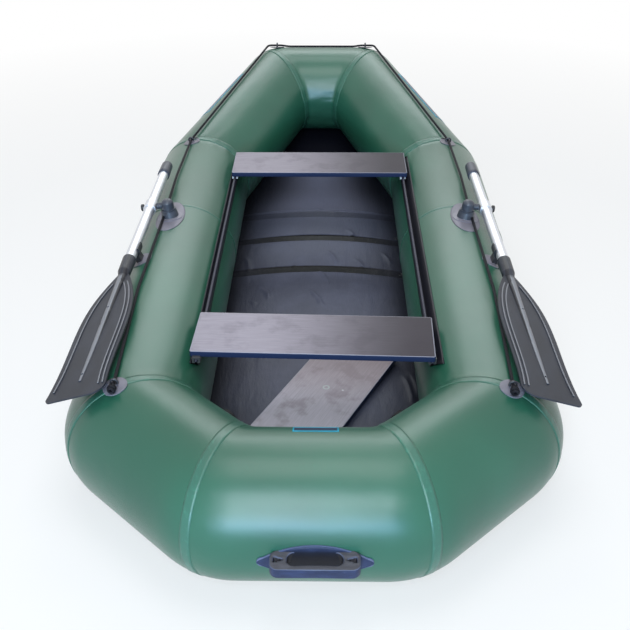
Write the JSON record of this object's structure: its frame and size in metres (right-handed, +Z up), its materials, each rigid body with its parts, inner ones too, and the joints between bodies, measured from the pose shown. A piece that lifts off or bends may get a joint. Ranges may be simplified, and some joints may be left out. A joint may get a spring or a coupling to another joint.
{
  "type": "inflatable rowing boat",
  "caption": "Inflatable rowing boat with a raised bow, slatted floor mat, two sliding seat boards and a pair of oars on swivelling oarlocks.",
  "frame": {"origin": "on the floor, under the middle of the boat's box", "axes": "+Y from stern to bow, +X to starboard, +Z up"},
  "size_m": [1.2484, 2.8674, 0.5161],
  "materials": {
    "tube_pvc": "satin coated fabric",
    "bottom_pvc": "coated fabric",
    "mat_cover": "coated cloth over stiff slats",
    "faced_plywood": "film-faced plywood",
    "rail_strip": "satin",
    "profile_plastic": "extruded",
    "moulded_rubber": "moulded",
    "lock_plastic": "moulded",
    "pin_steel": "plated",
    "shaft_aluminium": "drawn tube",
    "oar_plastic": "moulded",
    "rope_cord": "braided cord",
    "handle_rubber": "moulded",
    "valve_plastic": "moulded"
  },
  "bodies": {
    "hull": {"tube_stern": "tube_pvc", "tube_bow": "tube_pvc", "tube_stern_right": "tube_pvc", "tube_bow_right": "tube_pvc", "tube_side_right_aft": "tube_pvc", "tube_side_right_fore": "tube_pvc", "tube_stern_left": "tube_pvc", "tube_bow_left": "tube_pvc", "tube_side_left_aft": "tube_pvc", "tube_side_left_fore": "tube_pvc", "bottom_flat": "bottom_pvc", "bottom_bow": "bottom_pvc", "floor_mat": "mat_cover", "floor_plank": "faced_plywood", "seat_rail_right": "rail_strip", "oarlock_base_right": "moulded_rubber", "oar_clip_right": "moulded_rubber", "rope_eye_stern_right": "moulded_rubber", "rope_eye_side_right": "moulded_rubber", "rope_eye_bow_right": "moulded_rubber", "air_valve_right": "valve_plastic", "seat_rail_left": "rail_strip", "oarlock_base_left": "moulded_rubber", "oar_clip_left": "moulded_rubber", "rope_eye_stern_left": "moulded_rubber", "rope_eye_side_left": "moulded_rubber", "rope_eye_bow_left": "moulded_rubber", "air_valve_left": "valve_plastic", "grab_line": "rope_cord", "handle_stern": "handle_rubber", "handle_bow": "handle_rubber"},
    "seat_aft": {"seat_aft_board": "faced_plywood", "seat_aft_profiles": "profile_plastic"},
    "seat_fore": {"seat_fore_board": "faced_plywood", "seat_fore_profiles": "profile_plastic"},
    "lock_right": {"oarlock_head_right": "lock_plastic", "oar_pin_right": "pin_steel"},
    "oar_right": {"oar_shaft_right": "shaft_aluminium", "oar_collar_right": "oar_plastic", "oar_grip_right": "oar_plastic", "oar_blade_right": "oar_plastic"},
    "lock_left": {"oarlock_head_left": "lock_plastic", "oar_pin_left": "pin_steel"},
    "oar_left": {"oar_shaft_left": "shaft_aluminium", "oar_collar_left": "oar_plastic", "oar_grip_left": "oar_plastic", "oar_blade_left": "oar_plastic"}
  },
  "joints": [
    {"name": "oar_right_swing", "type": "hinge", "parent": "hull", "child": "lock_right", "pos_m": [0.47223, -0.082, 0.37986], "axis": [0.1392, 0, 0.9903], "range_deg": [0, 115]},
    {"name": "oar_right_dip", "type": "hinge", "parent": "lock_right", "child": "oar_right", "pos_m": [0.47223, -0.082, 0.37986], "axis": [0.9898, 0.0314, -0.1391], "range_deg": [0, 9.5]},
    {"name": "oar_left_swing", "type": "hinge", "parent": "hull", "child": "lock_left", "pos_m": [-0.47223, -0.082, 0.37986], "axis": [0.1392, 0, -0.9903], "range_deg": [0, 115]},
    {"name": "oar_left_dip", "type": "hinge", "parent": "lock_left", "child": "oar_left", "pos_m": [-0.47223, -0.082, 0.37986], "axis": [0.9898, -0.0314, 0.1391], "range_deg": [0, 9.5]},
    {"name": "seat_aft_slide", "type": "slide", "parent": "hull", "child": "seat_aft", "axis": [0, -1, 0], "range_m": [-0.35, 0]},
    {"name": "seat_fore_slide", "type": "slide", "parent": "hull", "child": "seat_fore", "axis": [0, -1, 0], "range_m": [0, 0.35]}
  ],
  "couplings": [
    {"joint": "oar_right_dip", "follows": "oar_right_swing", "ratio": 0.08},
    {"joint": "oar_left_dip", "follows": "oar_left_swing", "ratio": 0.08}
  ]
}
